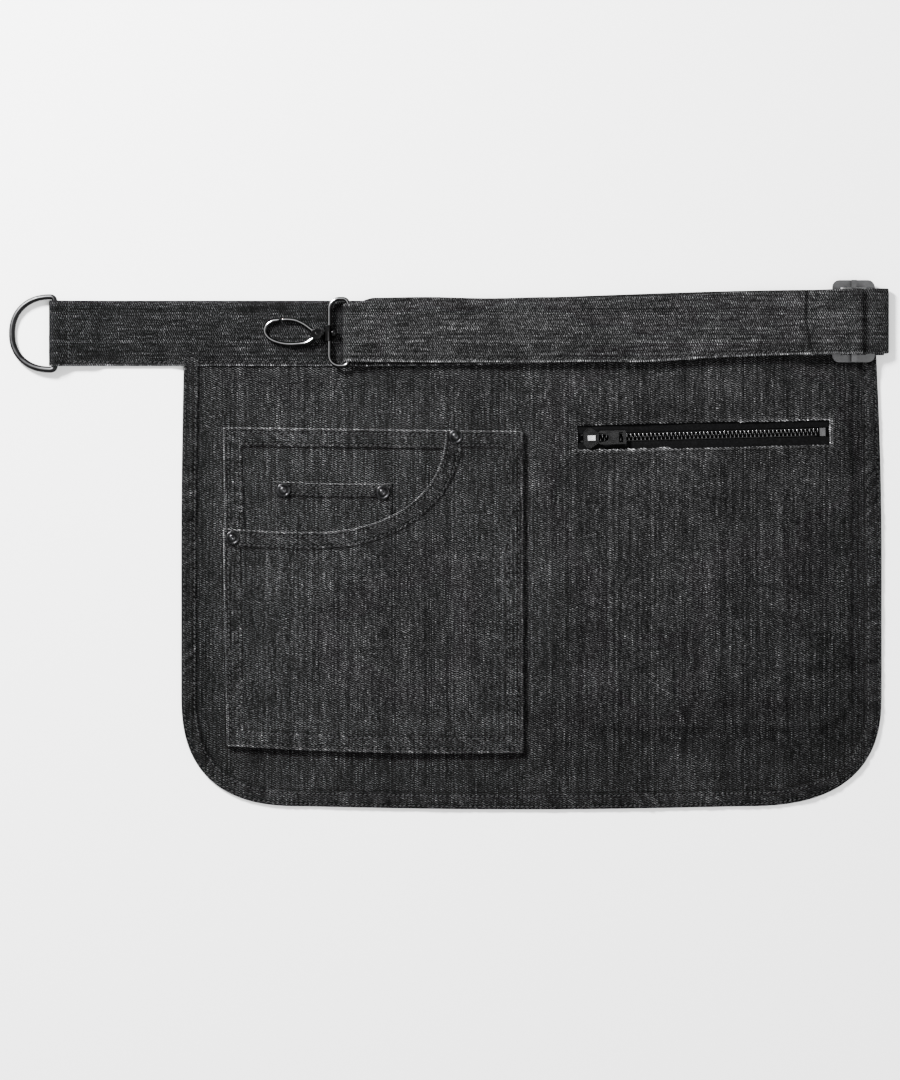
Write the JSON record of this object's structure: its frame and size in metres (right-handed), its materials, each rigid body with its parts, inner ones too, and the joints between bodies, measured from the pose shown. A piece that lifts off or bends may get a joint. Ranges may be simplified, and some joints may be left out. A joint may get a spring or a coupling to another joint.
{
  "type": "waist apron",
  "caption": "Denim waist apron laid flat: a round-cornered panel with a patch pocket, coin pocket and zip pocket, on a belt with a D ring, snap hook and tri-glide.",
  "frame": {"origin": "centre of the laid-out apron's box, on the surface it lies on", "axes": "+X along the belt towards the tri-glide, +Y up the apron towards the belt, +Z out of its front"},
  "size_m": [0.564, 0.339, 0.0126],
  "materials": {
    "denim": "washed charcoal twill with vertical slubs",
    "belt_denim": "washed charcoal twill with slubs along the belt",
    "pocketing": "plain dark cotton pocketing",
    "zip_tape": "black herringbone tape",
    "zip_metal": "polished gunmetal",
    "rivet_metal": "antique gunmetal",
    "ring_metal": "satin dark nickel",
    "hook_metal": "polished black nickel",
    "glide_metal": "satin dark nickel"
  },
  "bodies": {
    "apron": {"apron_body": "denim", "waistband": "belt_denim", "strap": "belt_denim", "pocket_back": "denim", "pocket_front": "denim", "coin_pocket": "denim", "zip_pocket_bag": "pocketing", "zip_tape_upper": "zip_tape", "zip_tape_lower": "zip_tape", "zip_teeth_upper": "zip_metal", "zip_teeth_lower": "zip_metal", "zip_slider": "zip_metal", "zip_bottom_stop": "zip_metal", "zip_top_stop_upper": "zip_metal", "zip_top_stop_lower": "zip_metal", "rivet_scoop_low": "rivet_metal", "rivet_scoop_high": "rivet_metal", "rivet_coin_left": "rivet_metal", "rivet_coin_right": "rivet_metal", "tri_glide": "glide_metal"},
    "tab_ring": {"d_ring": "ring_metal"},
    "hook_ring": {"strap_ring": "hook_metal"},
    "hook_frame": {"snap_hook": "hook_metal"},
    "gate_arm": {"hook_gate": "hook_metal"},
    "pull_tab": {"zip_pull": "zip_metal"}
  },
  "joints": [
    {"name": "d_ring_swing", "type": "hinge", "parent": "apron", "child": "tab_ring", "pos_m": [-0.25249, 0.1355, 0.004], "axis": [0, 1, 0], "range_deg": [0, 150]},
    {"name": "ring_swing", "type": "hinge", "parent": "apron", "child": "hook_ring", "pos_m": [-0.06449, 0.136, 0.0075], "axis": [0, 1, 0], "range_deg": [0, 120]},
    {"name": "hook_swivel", "type": "hinge", "parent": "hook_ring", "child": "hook_frame", "pos_m": [-0.07648, 0.1355, 0.00698], "axis": [0.9991, 0, 0.0431], "range_deg": [-3, 3]},
    {"name": "gate_hinge", "type": "hinge", "parent": "hook_frame", "child": "gate_arm", "pos_m": [-0.08497, 0.1349, 0.00662], "axis": [-0.0431, 0, 0.9991], "range_deg": [0, 25], "stiffness_Nm_per_rad": 0.003},
    {"name": "pull_flip", "type": "hinge", "parent": "apron", "child": "pull_tab", "pos_m": [0.09113, 0.06838, 0.0069], "axis": [0.0267, -0.9996, 0], "range_deg": [0, 170]}
  ]
}
